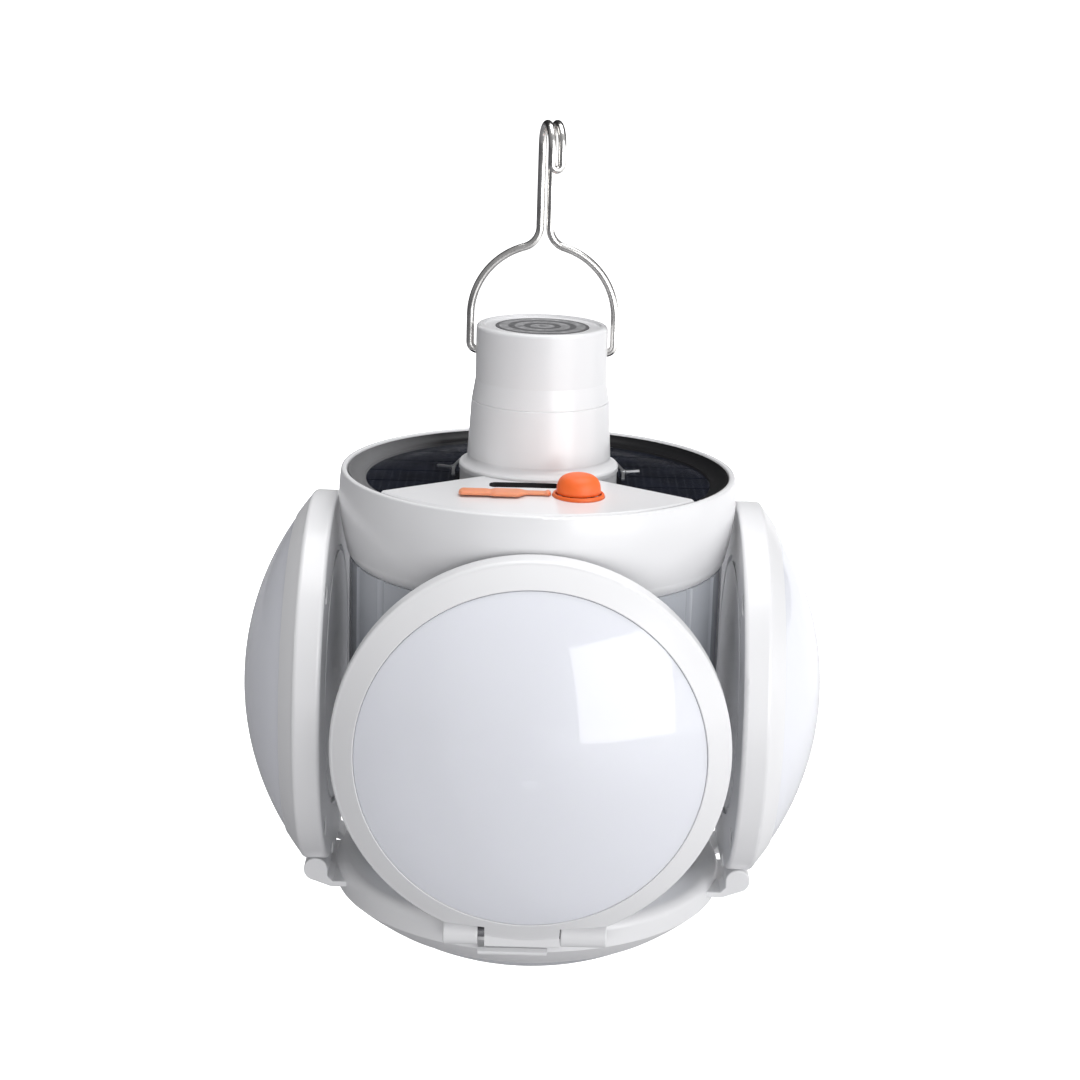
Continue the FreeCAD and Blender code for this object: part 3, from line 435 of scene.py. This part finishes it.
def make_cover():
    """Port cover and its strap as one soft flap: a narrow pull end, a plug end and a thin strap."""
    steps, around, squareness = 150, 32, 3.4
    strap_half, strap_thick, root_bulge, pull_narrowing = 1.1 * MM, 0.6 * MM, 0.2 * MM, 0.5 * MM
    pull_end, plug_start, dip_depth, dip_at, dip_reach = 5.6 * MM, 6.8 * MM, 0.12 * MM, 6.0 * MM, 1.0 * MM
    rounding, thinnest, end_height = 0.9 * MM, 0.03, 0.45
    pad_tapers_before, pad_tapers_past = 1.6 * MM, 0.5 * MM
    root_swells_from, root_full_from = 1.2 * MM, 0.6 * MM
    pad_low, pad_high = box_of("port_cover")
    strap_low, strap_high = box_of("cover_strap")
    middle = (pad_low.y + pad_high.y) / 2
    strap_y = (strap_low.y + strap_high.y) / 2
    floor = min(pad_low.z, strap_low.z)
    full, length = (pad_high.y - pad_low.y) / 2, strap_high.x - pad_low.x
    verts = []
    for step in range(steps + 1):
        x = pad_low.x + length * step / steps
        neck = smooth_step(x, pad_low.x + pull_end, pad_low.x + plug_start)
        strap = smooth_step(x, pad_high.x - pad_tapers_before, pad_high.x + pad_tapers_past)
        root = smooth_step(x, strap_high.x - root_swells_from, strap_high.x - root_full_from)
        half = (full - pull_narrowing * (1.0 - neck)) * (1.0 - strap) + strap_half * strap
        half += root_bulge * root
        thick = (pad_high.z - floor) * (1.0 - strap) + strap_thick * strap + root_bulge * root
        dip = dip_depth * smooth_step(abs(x - pad_low.x - dip_at), dip_reach, 0.0)
        near_end = min(1.0, min(x - pad_low.x, strap_high.x - x) / rounding)
        taper = max(thinnest, math.sqrt(max(0.0, 1.0 - (1.0 - near_end) ** 2)))
        y = middle * (1.0 - strap) + strap_y * strap
        height = (thick - dip) * (end_height + (1.0 - end_height) * taper)
        for spot in range(around):
            turn = 4.0 * spot / around
            a, b = superellipse(turn % 1.0, squareness)
            across, up = ((a, b), (-b, a), (-a, -b), (b, -a))[int(turn)]
            verts.append((x, y + half * taper * across, floor + height * (0.5 + 0.5 * up)))
    faces = []
    for step in range(steps):
        here, there = step * around, (step + 1) * around
        for spot in range(around):
            nxt = (spot + 1) % around
            faces.append((here + spot, there + spot, there + nxt, here + nxt))
    faces.append(tuple(range(around)))
    faces.append(tuple(steps * around + spot for spot in range(around)))
    make_piece("cover_flap", verts, faces, "orange_silicone", "port_cover", "port_cover", "cover_strap")


make_button()
make_button_ring()
make_cover()


# ------------------------------------------------------------------ floor, lights and camera
BALL_CENTRE = Vector((0.0, 0.0, 0.057))
WHITE = (1.0, 1.0, 1.0)

FLOOR_HALF_SIZE = 40.0
FLOOR_DROP = 0.07
FLOOR_UNSEEN = (0.22, 0.22, 0.23)
FLOOR_GLOW = 0.9
FLOOR_GLOW_ENDS = (0.02, 0.30)
FLOOR_FADE = (0.5, 1.0)
FLOOR_FADE_ENDS = (0.1, 0.6)

WORLD_TINT = (0.975, 0.98, 1.0)
WORLD_LEFT_RIGHT = (0.25, 0.58)
WORLD_BELOW = 0.30
WORLD_BELOW_ENDS = (-0.5, 0.2)
WORLD_BACK_SHINE = 0.06
WORLD_BACK_ENDS = (-0.2, 0.6)

WINDOW_AT = (0.50, -0.67, 0.25)
WINDOW_SIZE = (0.60, 0.58)

# Name, place, width and height, radiance, whether it shows in reflections, whether it lights.
LAMPS = (
    ("window", WINDOW_AT, WINDOW_SIZE, 4.0, True, False),
    ("key", WINDOW_AT, WINDOW_SIZE, 1.7, False, True),
    ("right_wall", (0.85, -0.2, 0.09), (0.9, 0.3), 1.25, True, True),
    ("front_fill", (-0.06, -0.96, 0.06), (1.0, 0.24), 4.6, False, True),
    ("overhead", (0.15, 0.05, 1.1), (0.9, 0.9), 3.4, True, True),
    ("back_fill", (-0.12, 0.95, 0.28), (1.2, 0.5), 2.6, False, True),
)

CAMERA_AT = (-0.0004, -0.4397, 0.2038)
CAMERA_AHEAD = (0.00250, 0.96585, -0.25908)
CAMERA_RIGHT = (0.99959, 0.00496, 0.02816)
CAMERA_LENS = 76.67


def floor_look():
    """Pale and lit to the camera. To the object it is dark, but glows softly on the right."""
    look = Look("floor", Roughness=0.7)
    pale = look.blend(look.span(look.noise(60.0), 0.0, 1.0), (0.86, 0.86, 0.865), (0.88, 0.88, 0.885))
    camera_ray = look.camera_ray()
    look.set("Base Color", look.blend(camera_ray, FLOOR_UNSEEN, pale))
    away = look.distance_from_axis()
    look.set("Emission Color", WHITE)
    shown = look.math("MULTIPLY", camera_ray, look.span(away, *FLOOR_FADE, *FLOOR_FADE_ENDS))
    unseen = look.math("SUBTRACT", 1.0, camera_ray)
    glow = look.span(look.axes()[0], 0.0, FLOOR_GLOW, *FLOOR_GLOW_ENDS)
    look.set("Emission Strength", look.math("ADD", shown, look.math("MULTIPLY", unseen, glow)))
    look.leave_unsampled()
    return look.material


def make_floor():
    mesh = bpy.data.meshes.new("floor")
    corners = [(-1, -1), (1, -1), (1, 1), (-1, 1)]
    verts = [(x * FLOOR_HALF_SIZE, y * FLOOR_HALF_SIZE, -FLOOR_DROP) for x, y in corners]
    mesh.from_pydata(verts, [], [(0, 1, 2, 3)])
    mesh.materials.append(floor_look())
    floor = bpy.data.objects.new("floor", mesh)
    bpy.context.scene.collection.objects.link(floor)


def make_world():
    """White to the camera. To the object it is dim below, and its reflection is dim at the back."""
    world = bpy.data.worlds.new("studio")
    bpy.context.scene.world = world
    world.use_nodes = True
    sky = Nodes(world.node_tree)
    x, y, z = sky.node("SeparateXYZ", Vector=sky.node("TexCoord").outputs["Generated"]).outputs
    sideways = sky.span(x, *WORLD_LEFT_RIGHT, -1.0, 1.0, "SMOOTHSTEP")
    upward = sky.span(z, WORLD_BELOW, 1.0, *WORLD_BELOW_ENDS, "SMOOTHSTEP")
    backward = sky.span(y, 1.0, WORLD_BACK_SHINE, *WORLD_BACK_ENDS, "SMOOTHSTEP")
    level = sky.math("MULTIPLY", sideways, upward)
    glossy = sky.node("LightPath").outputs["Is Glossy Ray"]
    steady = sky.math("MULTIPLY", level, sky.math("SUBTRACT", 1.0, glossy))
    dimmed = sky.math("MULTIPLY", sky.math("MULTIPLY", level, backward), glossy)
    strength = sky.math("ADD", steady, dimmed)
    shown = sky.node("Background", Color=WHITE, Strength=1.0)
    lit = sky.node("Background", Color=WORLD_TINT, Strength=strength)
    mix = sky.node("MixShader", Fac=sky.camera_ray())
    sky.feed(mix.inputs[1], lit.outputs[0])
    sky.feed(mix.inputs[2], shown.outputs[0])
    sky.feed(sky.node("OutputWorld").inputs[0], mix.outputs[0])


def make_camera():
    data = bpy.data.cameras.new("camera")
    data.lens = CAMERA_LENS
    data.clip_start, data.clip_end = 0.01, 200.0
    camera = bpy.data.objects.new("camera", data)
    right, ahead = Vector(CAMERA_RIGHT).normalized(), Vector(CAMERA_AHEAD).normalized()
    turn = Matrix((right, right.cross(ahead), -ahead)).transposed().to_4x4()
    camera.matrix_world = Matrix.Translation(CAMERA_AT) @ turn
    bpy.context.scene.collection.objects.link(camera)
    bpy.context.scene.camera = camera


def area_light(name, place, size, radiance, glossy, diffuse):
    """Soft box of this radiance, facing the ball."""
    data = bpy.data.lights.new(name, "AREA")
    data.shape = "RECTANGLE"
    data.size, data.size_y = size
    data.energy = radiance * math.pi * size[0] * size[1]
    light = bpy.data.objects.new(name, data)
    light.visible_camera = False
    light.visible_glossy = glossy
    light.visible_diffuse = diffuse
    light.location = place
    light.rotation_mode = "QUATERNION"
    light.rotation_quaternion = (BALL_CENTRE - Vector(place)).to_track_quat("-Z", "Y")
    bpy.context.scene.collection.objects.link(light)


make_floor()
make_world()
make_camera()
for lamp in LAMPS:
    area_light(*lamp)
bpy.context.scene.view_settings.view_transform = "Standard"
